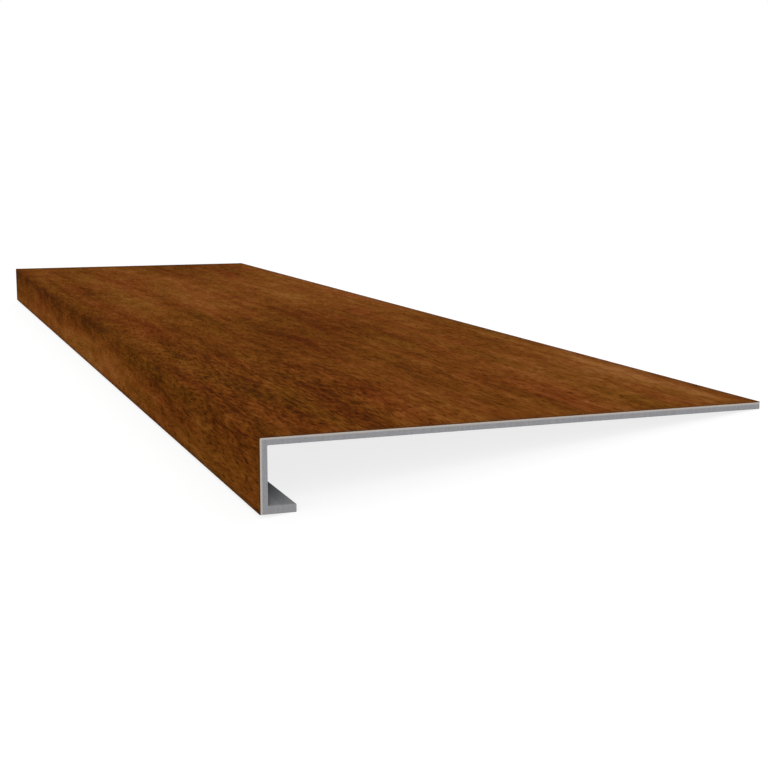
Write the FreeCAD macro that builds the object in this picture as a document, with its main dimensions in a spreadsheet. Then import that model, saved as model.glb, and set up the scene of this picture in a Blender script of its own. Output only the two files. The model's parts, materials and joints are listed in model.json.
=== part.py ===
import FreeCAD, Part
import os
import Sketcher

# A rigid vinyl overlay stair tread that caps an old step. Its section is a square hook: a thin
# board, a nose that turns straight down at the front and a return that turns back under it.
# A wood-print film covers the board's face, goes over the nose edge and ends at the nose's foot.
# Each section is drawn level, from the foot of the nose, with the walking face up. The finished
# tread lies unheld on a floor: on its return's free edge and on the board's lower back edge.
# Millimetres, +X along the step, +Y from the nose to the back, +Z up.

driving_sizes = [
    ("tread_length", 1193.8),     # end to end, along the step
    ("tread_depth", 308.0),       # nose face to back edge
    ("nose_height", 41.3),        # underside of the return to the walking face
    ("sheet_thickness", 4.5),     # board, nose and return, with the film where there is one
    ("return_depth", 20.0),       # nose face to the return's free end
    ("film_thickness", 0.5),      # printed film with its clear wear layer
    ("nose_radius", 1.0),         # outside of the film, round the nose's upper edge
    ("cove_radius", 0.6),         # the hook's two inside corners
]

doc = FreeCAD.newDocument("stair_tread")
sheet = doc.addObject("Spreadsheet::Sheet", "Sizes")
for row, (alias, value) in enumerate(driving_sizes, start=1):
    sheet.set(f"A{row}", alias)
    sheet.set(f"B{row}", str(value))
    sheet.setAlias(f"B{row}", alias)
doc.recompute()


# A place in a section is a sum of sizes, written in words: "nose_height - film_thickness".
def bound(formula):
    return " ".join(word if word in "+-" else f"Sizes.{word}" for word in formula.split())


def amount(formula):
    total = 0.0
    sign = 1
    for word in formula.split():
        if word in "+-":
            sign = 1 if word == "+" else -1
        else:
            total += sign * sheet.get(word)
    return total


# The sides of a section in turn, with how each one runs and where it lies: flat sides by their
# height over the nose's foot, upright ones by their distance behind the nose face.
core_sides = [
    ("return_underside", "flat", None),
    ("return_end", "upright", "return_depth"),
    ("return_seat", "flat", "sheet_thickness"),
    ("nose_back", "upright", "sheet_thickness"),
    ("board_underside", "flat", "nose_height - sheet_thickness"),
    ("core_back_edge", "upright", "tread_depth"),
    ("core_face", "flat", "nose_height - film_thickness"),
    ("core_nose", "upright", "film_thickness"),
]
film_sides = [
    ("film_foot", "flat", None),
    ("film_nose_back", "upright", "film_thickness"),
    ("film_underside", "flat", "nose_height - film_thickness"),
    ("film_back_edge", "upright", "tread_depth"),
    ("walking_face", "flat", "nose_height"),
    ("nose_face", "upright", None),
]

# The rounds, each at the end of the side that it is named after.
core_rounds = {
    "return_seat": "cove_radius",
    "nose_back": "cove_radius",
    "core_face": "nose_radius - film_thickness",
}
film_rounds = {
    "film_nose_back": "nose_radius - film_thickness",
    "walking_face": "nose_radius",
}

side_rule = {"flat": "Horizontal", "upright": "Vertical"}
place_rule = {"flat": "DistanceY", "upright": "DistanceX"}
zero_axis = {"flat": -1, "upright": -2}
line_point = {"start": 1, "end": 2}


def corner_between(side, following):
    places = {runs: formula for name, runs, formula in (side, following)}
    return FreeCAD.Vector(
        amount(places["upright"] or ""),
        amount(places["flat"] or ""),
        0,
    )


def hold(sketch, rule, name, formula):
    index = sketch.addConstraint(rule)
    sketch.renameConstraint(index, name)
    sketch.setExpression(f"Constraints.{name}", bound(formula))


# One section, held by its own sizes, on the upright plane across the step.
def draw_section(body, name, sides, rounds):
    planes = {feature.Role: feature for feature in body.Origin.OriginFeatures}
    sketch = body.newObject("Sketcher::SketchObject", name)
    sketch.AttachmentSupport = (planes["YZ_Plane"], [""])
    sketch.MapMode = "FlatFace"
    after = sides[1:] + sides[:1]
    corners = [corner_between(side, following) for side, following in zip(sides, after)]
    lines = {}
    for index, (side, runs, formula) in enumerate(sides):
        lines[side] = sketch.addGeometry(Part.LineSegment(corners[index - 1], corners[index]))
        sketch.addConstraint(Sketcher.Constraint(side_rule[runs], lines[side]))
    for side, following in zip(sides, after):
        meet = (lines[side[0]], line_point["end"], lines[following[0]], line_point["start"])
        sketch.addConstraint(Sketcher.Constraint("Coincident", *meet))
    for side, formula in rounds.items():
        sketch.fillet(lines[side], line_point["end"], amount(formula))
        arc = sketch.GeometryCount - 1
        hold(sketch, Sketcher.Constraint("Radius", arc, amount(formula)), f"{side}_round", formula)
    for side, runs, formula in sides:
        if formula is None:
            on_axis = (lines[side], line_point["start"], zero_axis[runs])
            sketch.addConstraint(Sketcher.Constraint("PointOnObject", *on_axis))
        else:
            from_foot = (zero_axis["flat"], line_point["start"])
            to_side = (lines[side], line_point["start"])
            place = Sketcher.Constraint(place_rule[runs], *from_foot, *to_side, amount(formula))
            hold(sketch, place, side, formula)
    return sketch


# The lean at which the tread rests, and where that puts the foot of the nose: the return's free
# edge and the board's lower back edge on the floor, the tread's box centred over the origin.
lean = f"atan(({bound('nose_height - sheet_thickness')}) / ({bound('tread_depth - return_depth')}))"
resting_reach = f"Sizes.tread_depth * cos({lean}) + Sizes.nose_height * sin({lean})"
back_down = FreeCAD.Rotation(FreeCAD.Vector(0, 1, 0), FreeCAD.Vector(0, 1, -1))


def make_piece(name, sides, rounds):
    body = doc.addObject("PartDesign::Body", name)
    body.Label = name
    section = draw_section(body, f"{name}_section", sides, rounds)
    length = body.newObject("PartDesign::Pad", f"{name}_length")
    length.Profile = section
    length.SideType = "Symmetric"
    length.setExpression("Length", "Sizes.tread_length")
    body.Placement = FreeCAD.Placement(FreeCAD.Vector(0, 0, 0), back_down)
    body.setExpression("Placement.Rotation.Angle", lean)
    body.setExpression("Placement.Base.y", f"-({resting_reach}) / 2")
    body.setExpression("Placement.Base.z", f"Sizes.return_depth * sin({lean})")
    return body


pieces = [
    make_piece("vinyl_core", core_sides, core_rounds),
    make_piece("wood_film", film_sides, film_rounds),
]
doc.recompute()

for item in doc.Objects:
    if "Invalid" in item.State or "Error" in item.State:
        raise RuntimeError(f"{item.Name} did not build: {item.State}")
    if item.isDerivedFrom("Sketcher::SketchObject") and not item.FullyConstrained:
        raise RuntimeError(f"{item.Name} is not held by its sizes")
for piece in pieces:
    if piece.Shape.isNull() or not piece.Shape.isValid():
        raise RuntimeError(f"{piece.Label} has no sound solid")

os.makedirs("parts", exist_ok=True)
for piece in pieces:
    piece.Shape.exportStep(f"parts/{piece.Label}.step")
    box = piece.Shape.BoundBox
    print(piece.Label, f"{piece.Shape.Volume:.0f} mm3", box)
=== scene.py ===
import json
import math
import bpy
from mathutils import Matrix, Vector


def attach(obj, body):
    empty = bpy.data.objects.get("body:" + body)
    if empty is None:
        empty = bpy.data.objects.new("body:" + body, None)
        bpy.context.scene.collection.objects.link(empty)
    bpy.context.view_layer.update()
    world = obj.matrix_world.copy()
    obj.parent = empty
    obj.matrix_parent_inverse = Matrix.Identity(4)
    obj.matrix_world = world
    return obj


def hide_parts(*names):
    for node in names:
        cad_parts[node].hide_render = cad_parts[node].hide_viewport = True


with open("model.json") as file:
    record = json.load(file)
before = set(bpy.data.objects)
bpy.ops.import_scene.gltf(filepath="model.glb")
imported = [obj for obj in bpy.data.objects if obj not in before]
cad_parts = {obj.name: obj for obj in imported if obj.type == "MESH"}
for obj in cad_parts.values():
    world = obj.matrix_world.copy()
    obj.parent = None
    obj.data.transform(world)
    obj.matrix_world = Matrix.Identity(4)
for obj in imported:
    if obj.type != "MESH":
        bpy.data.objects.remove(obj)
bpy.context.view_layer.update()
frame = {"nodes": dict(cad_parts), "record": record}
mm = 0.001
scene = bpy.context.scene


def linear(hexColour):  # sRGB hex to the linear values that shaders take
    parts = [int(hexColour[i:i + 2], 16) / 255 for i in (1, 3, 5)]
    flat = [p / 12.92 if p <= 0.04045 else ((p + 0.055) / 1.055) ** 2.4 for p in parts]
    return (*flat, 1.0)


# one node with its settings, values and links; a node given as a value means its first live output
def addNode(tree, kind, inputs=None, **settings):
    node = tree.nodes.new(kind)
    for name, value in settings.items():
        setattr(node, name, value)
    sockets = {socket.identifier: socket for socket in node.inputs}
    for key, value in (inputs or {}).items():
        socket = sockets[key] if key in sockets else node.inputs[key]
        if isinstance(value, bpy.types.Node):
            value = next(output for output in value.outputs if output.enabled)
        if isinstance(value, bpy.types.NodeSocket):
            tree.links.new(value, socket)
        else:
            socket.default_value = value
    return node


def emptyMaterial(name):
    material = bpy.data.materials.new(name)
    material.use_nodes = True
    material.node_tree.nodes.clear()
    return material


# The tread's own level frame: x along it from the middle, y from the nose face back, z up from the
# nose's foot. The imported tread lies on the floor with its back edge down, so that frame leans.
mounts = {mount["name"]: mount for mount in frame["record"]["mounts"]}
downward = Vector(mounts["bonded_face"]["axis"])
leanTurn = Matrix.Rotation(math.atan2(downward.y, -downward.z), 4, "X")
filmLevel = [leanTurn.inverted() @ v.co for v in frame["nodes"]["wood_film"].data.vertices]
coreLevel = [leanTurn.inverted() @ v.co for v in frame["nodes"]["vinyl_core"].data.vertices]
foot = Vector((0, min(p.y for p in filmLevel), min(p.z for p in coreLevel)))
levelToRow = leanTurn @ Matrix.Translation(foot)

treadLength = max(p.x for p in filmLevel) - min(p.x for p in filmLevel)
treadDepth = max(p.y for p in filmLevel) - foot.y
noseHeight = max(p.z for p in filmLevel) - foot.z
filmThickness = max(p.z for p in filmLevel) - max(p.z for p in coreLevel)
sheetThickness = (levelToRow.inverted() @ Vector(mounts["nose_stop"]["pos_m"])).y
returnDepth = max(p.y for p in coreLevel if p.z - foot.z < sheetThickness / 2) - foot.y
filmWidth = treadDepth + noseHeight  # from the back edge, over the nose, to its foot
print("tread sizes, mm:", [round(size / mm, 2) for size in (
    treadLength, treadDepth, noseHeight, sheetThickness, returnDepth, filmThickness)])


# One section run along the tread: corners rounded, walls pulled out, both sawn ends closed. sheetMap
# is (along, across) in metres on the walls and (back, up) on the ends, which sawn marks with 1.
def sectionTree():
    tree = bpy.data.node_groups.new("sectionAlongTread", "GeometryNodeTree")
    for name, kind in (("Section", "Geometry"), ("Length", "Float"), ("Arc Steps", "Int"),
                       ("Weld", "Float"), ("Finish", "Material")):
        tree.interface.new_socket(name, in_out="INPUT", socket_type="NodeSocket" + kind)
    tree.interface.new_socket("Piece", in_out="OUTPUT", socket_type="NodeSocketGeometry")
    given = addNode(tree, "NodeGroupInput").outputs
    rounded = addNode(tree, "GeometryNodeFilletCurve", {
        "Curve": given["Section"], "Radius": addNode(tree, "GeometryNodeInputRadius"),
        "Count": given["Arc Steps"]}, mode="POLY")
    lengthSoFar = addNode(tree, "GeometryNodeSplineParameter").outputs["Length"]
    traced = addNode(tree, "GeometryNodeStoreNamedAttribute", {
        "Geometry": rounded, "Name": "across", "Value": lengthSoFar}, domain="POINT")
    outline = addNode(tree, "GeometryNodeCurveToMesh", {"Curve": traced})
    run = addNode(tree, "ShaderNodeCombineXYZ", {"Z": given["Length"]})
    pulled = addNode(tree, "GeometryNodeExtrudeMesh", {"Mesh": outline, "Offset": run}, mode="EDGES")
    walls = addNode(tree, "GeometryNodeFlipFaces", {"Mesh": pulled})  # so that they face out
    across = addNode(tree, "GeometryNodeInputNamedAttribute", {"Name": "across"}, data_type="FLOAT")
    spot = addNode(tree, "GeometryNodeInputPosition")
    along = addNode(tree, "ShaderNodeSeparateXYZ", {"Vector": spot}).outputs["Z"]
    spread = addNode(tree, "ShaderNodeCombineXYZ", {"X": along, "Y": across})
    mappedWalls = addNode(tree, "GeometryNodeStoreNamedAttribute", {
        "Geometry": walls, "Name": "sheetMap", "Value": spread}, data_type="FLOAT2", domain="CORNER")
    cap = addNode(tree, "GeometryNodeFillCurve", {"Curve": rounded}, mode="NGONS")
    mappedCap = addNode(tree, "GeometryNodeStoreNamedAttribute", {
        "Geometry": cap, "Name": "sheetMap", "Value": spot}, data_type="FLOAT2", domain="CORNER")
    sawnCap = addNode(tree, "GeometryNodeStoreNamedAttribute", {
        "Geometry": mappedCap, "Name": "sawn", "Value": 1.0}, domain="FACE")
    nearEnd = addNode(tree, "GeometryNodeTransform", {"Geometry": sawnCap, "Translation": run})
    farEnd = addNode(tree, "GeometryNodeFlipFaces", {"Mesh": sawnCap})
    joined = addNode(tree, "GeometryNodeJoinGeometry")
    for part in (mappedWalls, farEnd, nearEnd):
        tree.links.new(part.outputs[0], joined.inputs["Geometry"])
    closed = addNode(tree, "GeometryNodeMergeByDistance", {"Geometry": joined, "Distance": given["Weld"]})
    crisp = addNode(tree, "GeometryNodeSetShadeSmooth", {"Geometry": closed, "Shade Smooth": False})
    real = addNode(tree, "GeometryNodeRealizeInstances", {"Geometry": crisp})
    finished = addNode(tree, "GeometryNodeSetMaterial", {"Geometry": real, "Material": given["Finish"]})
    addNode(tree, "NodeGroupOutput", {"Piece": finished})
    return tree


section = sectionTree()
weldGap = 0.001 * mm  # ends and walls meet exactly, so any small gap does


def runSection(name, corners, arcSteps, finish):  # corners are (back, up, radius)
    curve = bpy.data.curves.new(name + "Section", "CURVE")
    curve.dimensions = "3D"
    line = curve.splines.new("POLY")
    line.points.add(len(corners) - 1)
    for point, (back, up, radius) in zip(line.points, corners):
        point.co = (back, up, 0, 1)
        point.radius = radius
    line.use_cyclic_u = True
    maker = bpy.data.objects.new(name + "Maker", curve)
    scene.collection.objects.link(maker)
    swept = maker.modifiers.new("section", "NODES")
    swept.node_group = section
    values = {"Length": treadLength, "Arc Steps": arcSteps, "Weld": weldGap, "Finish": finish}
    for item in section.interface.items_tree:
        if item.name in values:
            swept[item.identifier] = values[item.name]
    mesh = bpy.data.meshes.new_from_object(maker.evaluated_get(bpy.context.evaluated_depsgraph_get()))
    bpy.data.objects.remove(maker)
    sectionToLevel = Matrix(((0, 0, 1, -treadLength / 2), (1, 0, 0, 0), (0, 1, 0, 0), (0, 0, 0, 1)))
    mesh.transform(levelToRow @ sectionToLevel)
    mesh.name = name
    piece = bpy.data.objects.new(name, mesh)
    scene.collection.objects.link(piece)
    print(name, "has", len(mesh.polygons), "faces")
    return piece


noiseRoughness = 0.55  # how much of each finer octave a noise keeps


def stretchedNoise(tree, place, figure):  # a noise as long and as wide as one figure, in mm
    perFigure = (1 / (figure["along"] * mm), 1 / (figure["across"] * mm), 0)
    scaled = addNode(tree, "ShaderNodeVectorMath", {
        0: place, 1: perFigure, 2: (figure["start"], figure["start"], 0)}, operation="MULTIPLY_ADD")
    return addNode(tree, "ShaderNodeTexNoise", {
        "Vector": scaled, "Scale": 1, "Detail": figure["detail"], "Roughness": noiseRoughness},
        noise_dimensions="2D")


# Vinyl film, printed with a red-brown hardwood, embossed along the print and rolled on in one sheet
# over the nose: a matte skin with its grain along the tread. Sizes are in mm. along and across are
# one figure's, weight its share of the tone. Fibres and pores of real wood are 0.1 to 0.3 mm wide,
# too fine to show at this distance, so they are drawn four times as coarse.
woodFilm = {
    "noseRound": 1.0,
    "edgeRound": 0.15,
    "arcSteps": 6,
    "tones": [(0.0, "#391907"), (0.25, "#512908"), (0.5, "#69390f"), (0.75, "#7d491c"), (1.0, "#905e31")],
    "middleTone": 0.58,
    "wander": {"along": 380, "across": 60, "detail": 1, "start": 3.7, "shift": 12},
    "layers": {
        "cloud": {"along": 260, "across": 38, "detail": 2, "start": 11.3, "weight": 0.5},
        "band": {"along": 520, "across": 11, "detail": 3, "start": 27.1, "weight": 0.34},
        "figure": {"along": 42, "across": 11, "detail": 1, "start": 35.3, "weight": 0.42},
        "streak": {"along": 50, "across": 3.8, "detail": 2, "start": 41.9, "weight": 0.19},
        "line": {"along": 300, "across": 2, "detail": 2, "start": 66.1, "weight": 0.05},
        "fibre": {"along": 20, "across": 1.2, "detail": 2, "start": 58.3, "weight": 0.16},
    },
    # a pore is where its noise passes from one value to the other
    "pores": {
        "along": 10, "across": 0.8, "detail": 1, "start": 73.7,
        "from": 0.58, "to": 0.66, "tone": -0.34,
    },
    # a ripple in the figure, strong in one zone, faint elsewhere, fainter still on most of the nose
    "ripple": {"along": 15, "across": 3.0, "detail": 2, "start": 87.3, "weight": 1.05, "elsewhere": 0.45},
    "rippleZone": {"middle": (1080, 262), "half": (340, 105)},
    "calmNose": {"middle": (500, 349), "half": (700, 44), "less": 0.45},
    "hue": {"along": 210, "across": 30, "detail": 2, "start": 51.3, "swing": 0.032},
    # soft broad tones, each an oval: its middle on the sheet, from the far end and the back edge, its
    # half sizes and how much it adds
    "patches": {
        "paleBack": {"middle": (600, -10), "half": (1500, 140), "tone": 0.12},
        "farCorner": {"middle": (60, 78), "half": (260, 75), "tone": -0.2},
        "nearBack": {"middle": (1040, 20), "half": (300, 60), "tone": 0.1},
        "goldenBack": {"middle": (500, 70), "half": (170, 50), "tone": 0.14},
        "goldenBand": {"middle": (390, 176), "half": (330, 62), "tone": 0.18},
        "darkMiddle": {"middle": (770, 118), "half": (290, 200), "tone": -0.16},
        "glowMiddle": {"middle": (930, 182), "half": (140, 45), "tone": 0.08},
        "glowNear": {"middle": (1190, 195), "half": (130, 90), "tone": 0.1},
        "glowFront": {"middle": (570, 262), "half": (150, 36), "tone": 0.1},
        "darkFront": {"middle": (1040, 260), "half": (600, 150), "tone": -0.175},
        "farFront": {"middle": (340, 292), "half": (200, 42), "tone": -0.19},
        "nearFront": {"middle": (1150, 262), "half": (110, 36), "tone": -0.1},
        "darkRidge": {"middle": (1050, 278), "half": (110, 42), "tone": -0.09},
        "glowRidge": {"middle": (940, 270), "half": (70, 24), "tone": 0.12},
        "noseEdge": {"middle": (350, 316), "half": (1100, 20), "tone": -0.2},
        "noseFar": {"middle": (70, 338), "half": (220, 22), "tone": 0.12},
        "noseFoot": {"middle": (640, 345), "half": (660, 26), "tone": 0.13},
        "noseNear": {"middle": (970, 332), "half": (130, 24), "tone": -0.08},
        "farEnd": {"middle": (0, 150), "half": (32, 420), "tone": -0.24},
    },
    # dark rims, about as the photograph has them: from how far in, and the share of this colour at
    # the edge; the film's own thickness on the sawn ends has one share all over
    "trim": {
        "colour": "#3a220f", "sawn": 0.5,
        "ends": (10, 0.26), "foot": (4.5, 0.7), "back": (10, 0.45),
    },
    "emboss": {"depth": 0.06, "pressedRough": 0.95, "proudRough": 0.8},
    "ior": 1.54,
    "specular": 0.001,  # less than real film has: seen this low, more gloss washes the print out
}


def printedVinylFilm():
    material = emptyMaterial("embossedPrintedVinylFilm")
    tree = material.node_tree
    sheet = addNode(tree, "ShaderNodeUVMap", uv_map="sheetMap")
    shift = woodFilm["wander"]["shift"] * mm
    drift = addNode(tree, "ShaderNodeMapRange", {
        "Value": stretchedNoise(tree, sheet, woodFilm["wander"]), "To Min": -shift, "To Max": shift})
    aside = addNode(tree, "ShaderNodeCombineXYZ", {"Y": drift})
    grain = addNode(tree, "ShaderNodeVectorMath", {0: sheet, 1: aside}, operation="ADD")

    # the print's tone: layers of figure, then the broad patches, the ripple and the pores
    layers = woodFilm["layers"]
    figures = {name: stretchedNoise(tree, grain, layer) for name, layer in layers.items()}
    tone = woodFilm["middleTone"] - sum(layer["weight"] for layer in layers.values()) / 2
    for name, layer in layers.items():
        tone = addNode(tree, "ShaderNodeMath", {0: figures[name], 1: layer["weight"], 2: tone},
                       operation="MULTIPLY_ADD")
    ovals = {}
    zones = {name: woodFilm[name] for name in ("rippleZone", "calmNose")}
    for name, patch in (woodFilm["patches"] | zones).items():
        scale = [1 / (half * mm) for half in patch["half"]]
        middle = [-place * mm * size for place, size in zip(patch["middle"], scale)]
        inside = addNode(tree, "ShaderNodeVectorMath", {0: grain, 1: (*scale, 0), 2: (*middle, 0)},
                         operation="MULTIPLY_ADD")
        reach = addNode(tree, "ShaderNodeVectorMath", {0: inside}, operation="LENGTH")
        ovals[name] = addNode(tree, "ShaderNodeMapRange", {"Value": reach, "From Min": 1, "From Max": 0},
                              interpolation_type="SMOOTHSTEP")
    for name, patch in woodFilm["patches"].items():
        tone = addNode(tree, "ShaderNodeMath", {0: ovals[name], 1: patch["tone"], 2: tone},
                       operation="MULTIPLY_ADD")
    half = woodFilm["ripple"]["weight"] / 2
    ripple = addNode(tree, "ShaderNodeMapRange", {
        "Value": stretchedNoise(tree, grain, woodFilm["ripple"]), "To Min": -half, "To Max": half})
    strength = addNode(tree, "ShaderNodeMapRange", {
        "Value": ovals["rippleZone"], "To Min": woodFilm["ripple"]["elsewhere"], "To Max": 1})
    strength = addNode(tree, "ShaderNodeMath", {
        0: ovals["calmNose"], 1: -woodFilm["calmNose"]["less"], 2: strength}, operation="MULTIPLY_ADD")
    tone = addNode(tree, "ShaderNodeMath", {0: ripple, 1: strength, 2: tone}, operation="MULTIPLY_ADD")
    poreSet = woodFilm["pores"]
    pores = addNode(tree, "ShaderNodeMapRange", {
        "Value": stretchedNoise(tree, grain, poreSet),
        "From Min": poreSet["from"], "From Max": poreSet["to"]})
    tone = addNode(tree, "ShaderNodeMath", {0: pores, 1: poreSet["tone"], 2: tone},
                   operation="MULTIPLY_ADD")

    # the tone's colour, turned a little to red or to yellow in broad clouds
    ramp = addNode(tree, "ShaderNodeValToRGB", {"Fac": tone})
    stops = ramp.color_ramp.elements
    while len(stops) < len(woodFilm["tones"]):
        stops.new(1.0)
    for stop, (place, colour) in zip(stops, woodFilm["tones"]):
        stop.position = place
        stop.color = linear(colour)
    unturned = 0.5
    swing = woodFilm["hue"]["swing"] / 2
    hue = addNode(tree, "ShaderNodeMapRange", {
        "Value": stretchedNoise(tree, grain, woodFilm["hue"]),
        "To Min": unturned - swing, "To Max": unturned + swing})
    printed = addNode(tree, "ShaderNodeHueSaturation", {"Hue": hue, "Color": ramp})

    # the dark rims, and the film's own thickness on the sawn ends
    trim = woodFilm["trim"]
    place = addNode(tree, "ShaderNodeSeparateXYZ", {"Vector": sheet}).outputs
    fromEnds = addNode(tree, "ShaderNodeMath", {0: place["X"], 1: treadLength / 2}, operation="PINGPONG")
    fromFoot = addNode(tree, "ShaderNodeMath", {0: filmWidth, 1: place["Y"]}, operation="SUBTRACT")
    sawn = addNode(tree, "ShaderNodeAttribute", attribute_name="sawn").outputs["Fac"]
    edge = addNode(tree, "ShaderNodeMath", {0: sawn, 1: trim["sawn"]}, operation="MULTIPLY")
    for side, distance in (("ends", fromEnds), ("foot", fromFoot), ("back", place["Y"])):
        width, share = trim[side]
        dark = addNode(tree, "ShaderNodeMapRange", {
            "Value": distance, "From Min": width * mm, "From Max": 0, "To Max": share})
        edge = addNode(tree, "ShaderNodeMath", {0: dark, 1: edge}, operation="MAXIMUM")
    colour = addNode(tree, "ShaderNodeMix", {
        "Factor_Float": edge, "A_Color": printed, "B_Color": linear(trim["colour"])}, data_type="RGBA")

    # the emboss follows the print: fibres stand a little proud and pores are pressed in
    emboss = woodFilm["emboss"]
    relief = addNode(tree, "ShaderNodeMath", {0: figures["fibre"], 1: pores}, operation="SUBTRACT")
    bump = addNode(tree, "ShaderNodeBump", {
        "Height": relief, "Strength": 1, "Distance": emboss["depth"] * mm})
    matte = addNode(tree, "ShaderNodeMapRange", {
        "Value": relief, "To Min": emboss["pressedRough"], "To Max": emboss["proudRough"]})
    shader = addNode(tree, "ShaderNodeBsdfPrincipled", {
        "Base Color": colour, "Roughness": matte, "Normal": bump,
        "IOR": woodFilm["ior"], "Specular IOR Level": woodFilm["specular"]})
    addNode(tree, "ShaderNodeOutputMaterial", {"Surface": shader})
    return material


filmEdge = woodFilm["edgeRound"] * mm
outerRound = woodFilm["noseRound"] * mm
innerRound = outerRound - filmThickness
film = runSection("printedFilm", [
    (treadDepth, noseHeight, filmEdge),
    (0, noseHeight, outerRound),
    (0, 0, filmEdge),
    (filmThickness, 0, 0),
    (filmThickness, noseHeight - filmThickness, innerRound),
    (treadDepth, noseHeight - filmThickness, 0),
], woodFilm["arcSteps"], printedVinylFilm())

# Rigid vinyl filled with stone dust, extruded and grey right through: satin walls with faint die
# lines along the tread, and dull sawn ends with a grain, saw marks and a pale line along the bonded
# film. Sizes are in mm. Real dust, saw marks and die lines are near 0.2 mm, drawn coarser to show.
greyVinyl = {
    "coveRound": 0.6,
    "returnRound": 0.4,
    "backRound": 0.3,
    "arcSteps": 6,
    "wall": "#8b8c8e",
    "end": "#868689",
    "paleLine": {"colour": "#aaa49e", "full": 0.7, "gone": 1.3},
    "walls": {
        "dieLines": {"along": 700, "across": 1.6, "detail": 2, "start": 5.9, "swing": 0.16},
        "smudges": {"along": 120, "across": 45, "detail": 3, "start": 17.7, "swing": 0.2},
    },
    "ends": {
        "sawMarks": {"along": 1.1, "across": 16, "detail": 2, "start": 29.3, "swing": 0.14},
        "dust": {"along": 0.9, "across": 0.9, "detail": 2, "start": 37.1, "swing": 0.2},
    },
    "relief": 0.03,
    "rough": {"wall": 0.55, "end": 0.75},
    "ior": 1.54,
    "specular": 0.2,
}


def rigidVinyl():
    material = emptyMaterial("extrudedRigidVinyl")
    tree = material.node_tree
    sheet = addNode(tree, "ShaderNodeUVMap", uv_map="sheetMap")
    sawn = addNode(tree, "ShaderNodeAttribute", attribute_name="sawn").outputs["Fac"]
    shades = {}
    for side, colour in (("walls", greyVinyl["wall"]), ("ends", greyVinyl["end"])):
        shade = 1.0
        for figure in greyVinyl[side].values():
            mark = addNode(tree, "ShaderNodeMapRange", {
                "Value": stretchedNoise(tree, sheet, figure),
                "To Min": 1 - figure["swing"], "To Max": 1 + figure["swing"]})
            shade = addNode(tree, "ShaderNodeMath", {0: mark, 1: shade}, operation="MULTIPLY")
        tinted = addNode(tree, "ShaderNodeVectorMath", {0: linear(colour)[:3], "Scale": shade},
                         operation="SCALE")
        shades[side] = {"shade": shade, "colour": tinted}

    # the pale line on an end, measured from the film over it or before it
    line = greyVinyl["paleLine"]
    place = addNode(tree, "ShaderNodeSeparateXYZ", {"Vector": sheet}).outputs
    under = addNode(tree, "ShaderNodeMath", {0: noseHeight - filmThickness, 1: place["Y"]},
                    operation="SUBTRACT")
    behind = addNode(tree, "ShaderNodeMath", {0: place["X"], 1: filmThickness}, operation="SUBTRACT")
    fromFilm = addNode(tree, "ShaderNodeMath", {0: under, 1: behind}, operation="MINIMUM")
    pale = addNode(tree, "ShaderNodeMapRange", {
        "Value": fromFilm, "From Min": line["gone"] * mm, "From Max": line["full"] * mm})
    end = addNode(tree, "ShaderNodeMix", {
        "Factor_Float": pale, "A_Color": shades["ends"]["colour"], "B_Color": linear(line["colour"])},
        data_type="RGBA")
    colour = addNode(tree, "ShaderNodeMix", {
        "Factor_Float": sawn, "A_Color": shades["walls"]["colour"], "B_Color": end}, data_type="RGBA")

    height = addNode(tree, "ShaderNodeMix", {
        "Factor_Float": sawn, "A_Float": shades["walls"]["shade"], "B_Float": shades["ends"]["shade"]},
        data_type="FLOAT")
    bump = addNode(tree, "ShaderNodeBump", {
        "Height": height, "Strength": 1, "Distance": greyVinyl["relief"] * mm})
    rough = addNode(tree, "ShaderNodeMapRange", {
        "Value": sawn, "To Min": greyVinyl["rough"]["wall"], "To Max": greyVinyl["rough"]["end"]})
    shader = addNode(tree, "ShaderNodeBsdfPrincipled", {
        "Base Color": colour, "Roughness": rough, "Normal": bump,
        "IOR": greyVinyl["ior"], "Specular IOR Level": greyVinyl["specular"]})
    addNode(tree, "ShaderNodeOutputMaterial", {"Surface": shader})
    return material


cove = greyVinyl["coveRound"] * mm
returnEdge = greyVinyl["returnRound"] * mm
core = runSection("vinylSection", [
    (treadDepth, noseHeight - filmThickness, 0),
    (filmThickness, noseHeight - filmThickness, innerRound),
    (filmThickness, 0, 0),
    (returnDepth, 0, returnEdge),
    (returnDepth, sheetThickness, returnEdge),
    (sheetThickness, sheetThickness, cove),
    (sheetThickness, noseHeight - sheetThickness, cove),
    (treadDepth, noseHeight - sheetThickness, greyVinyl["backRound"] * mm),
], greyVinyl["arcSteps"], rigidVinyl())

for piece, node, slot in ((film, "wood_film", "wood_print_film"), (core, "vinyl_core", "grey_vinyl")):
    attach(piece, "root")
    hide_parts(node)

# The camera looks along the tread from its near end. Millimetres in the level frame, from the near
# end, the nose face and the nose's foot; the focal length is in pixels of the square picture.
cameraSet = {
    "place": (664.3, -183.4, 181.2),
    "aim": (-137.4, 121.2, 41.3),
    "focal": 1358.2,
    "picture": 768,
    "roll": 0.09,
    "nearClip": 10,
}
lens = bpy.data.cameras.new("nearEndView")
lens.lens = cameraSet["focal"] / cameraSet["picture"] * lens.sensor_width
lens.clip_start = cameraSet["nearClip"] * mm
camera = bpy.data.objects.new("nearEndView", lens)
scene.collection.objects.link(camera)
nearEnd = Vector((treadLength / 2, 0, 0))
cameraPlace = nearEnd + Vector(cameraSet["place"]) * mm
cameraAim = nearEnd + Vector(cameraSet["aim"]) * mm
look = (cameraAim - cameraPlace).to_track_quat("-Z", "Y").to_matrix().to_4x4()
roll = Matrix.Rotation(math.radians(cameraSet["roll"]), 4, "Z")
camera.matrix_world = levelToRow @ Matrix.Translation(cameraPlace) @ look @ roll
scene.camera = camera
print("camera set,", round(lens.lens, 1), "mm lens")

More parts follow.
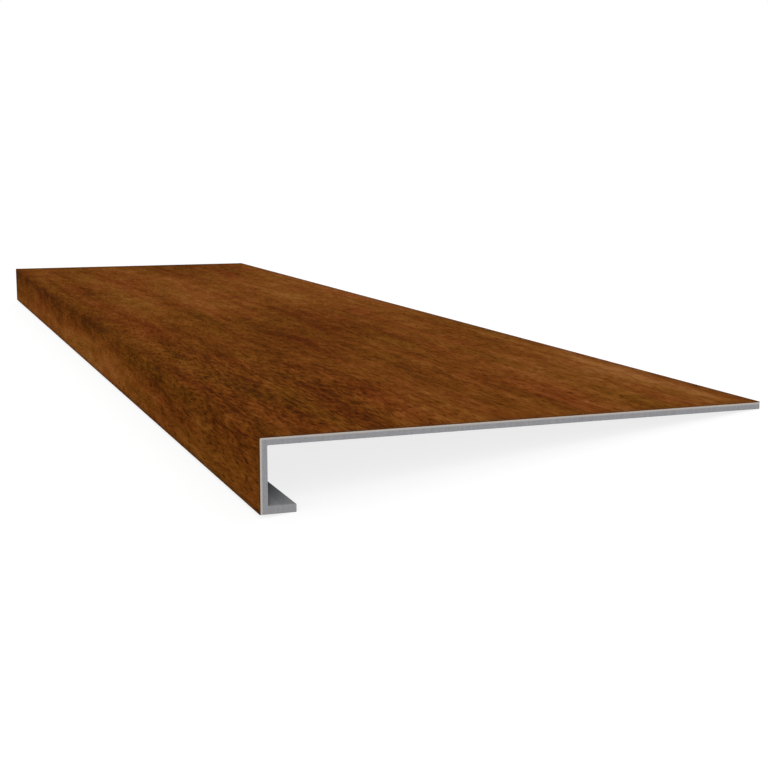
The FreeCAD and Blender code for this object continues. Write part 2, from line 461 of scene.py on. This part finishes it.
# White paper floor and white studio. What is seen of the floor is lifted to white and keeps a part
# of the tread's shadow; the tread itself gets only the plain bounce and fill.
stageSet = {"half": 20.0, "bounce": 0.8, "seenTint": 0.22, "seenGlow": 0.81, "fill": 0.5, "seenSky": 1.0}


def seenRays(tree):  # 1 for what is seen, directly, mirrored or through something clear
    rays = addNode(tree, "ShaderNodeLightPath").outputs
    seen = rays["Is Camera Ray"]
    for kind in ("Is Glossy Ray", "Is Transmission Ray"):
        seen = addNode(tree, "ShaderNodeMath", {0: seen, 1: rays[kind]}, operation="MAXIMUM")
    return seen


half = stageSet["half"]
floorMesh = bpy.data.meshes.new("floor")
floorCorners = [(-half, -half, 0), (half, -half, 0), (half, half, 0), (-half, half, 0)]
floorMesh.from_pydata(floorCorners, [], [(0, 1, 2, 3)])
floor = bpy.data.objects.new("floor", floorMesh)
scene.collection.objects.link(floor)
paper = emptyMaterial("whitePaper")
tree = paper.node_tree
bounce = addNode(tree, "ShaderNodeBsdfDiffuse", {"Color": (*[stageSet["bounce"]] * 3, 1)})
shaded = addNode(tree, "ShaderNodeBsdfDiffuse", {"Color": (*[stageSet["seenTint"]] * 3, 1)})
glow = addNode(tree, "ShaderNodeEmission", {"Strength": stageSet["seenGlow"]})
seenPaper = addNode(tree, "ShaderNodeAddShader", {0: shaded, 1: glow})
either = addNode(tree, "ShaderNodeMixShader", {0: seenRays(tree), 1: bounce, 2: seenPaper})
addNode(tree, "ShaderNodeOutputMaterial", {"Surface": either})
floorMesh.materials.append(paper)

world = bpy.data.worlds.new("whiteStudio")
scene.world = world
world.use_nodes = True
tree = world.node_tree
tree.nodes.clear()
level = addNode(tree, "ShaderNodeMapRange", {
    "Value": seenRays(tree), "To Min": stageSet["fill"], "To Max": stageSet["seenSky"]})
sky = addNode(tree, "ShaderNodeBackground", {"Color": (1, 1, 1, 1), "Strength": level})
addNode(tree, "ShaderNodeOutputWorld", {"Surface": sky})

# soft suns: the side each one shines from, its strength and its spread in degrees
softLights = {
    "nearEndSoftbox": {"side": (1.0, -0.25, 0.75), "strength": 1.7, "spread": 50},
    "frontSoftbox": {"side": (0.1, -0.85, 0.5), "strength": 0.65, "spread": 60},
    "backSoftbox": {"side": (-0.8, 0.7, 0.6), "strength": 0.7, "spread": 60},
}
for name, softbox in softLights.items():
    sun = bpy.data.lights.new(name, "SUN")
    sun.energy = softbox["strength"]
    sun.angle = math.radians(softbox["spread"])
    lamp = bpy.data.objects.new(name, sun)
    lamp.rotation_euler = Vector(softbox["side"]).to_track_quat("Z", "Y").to_euler()
    scene.collection.objects.link(lamp)
scene.view_settings.view_transform = "Standard"
print("stage and", len(softLights), "lights set")
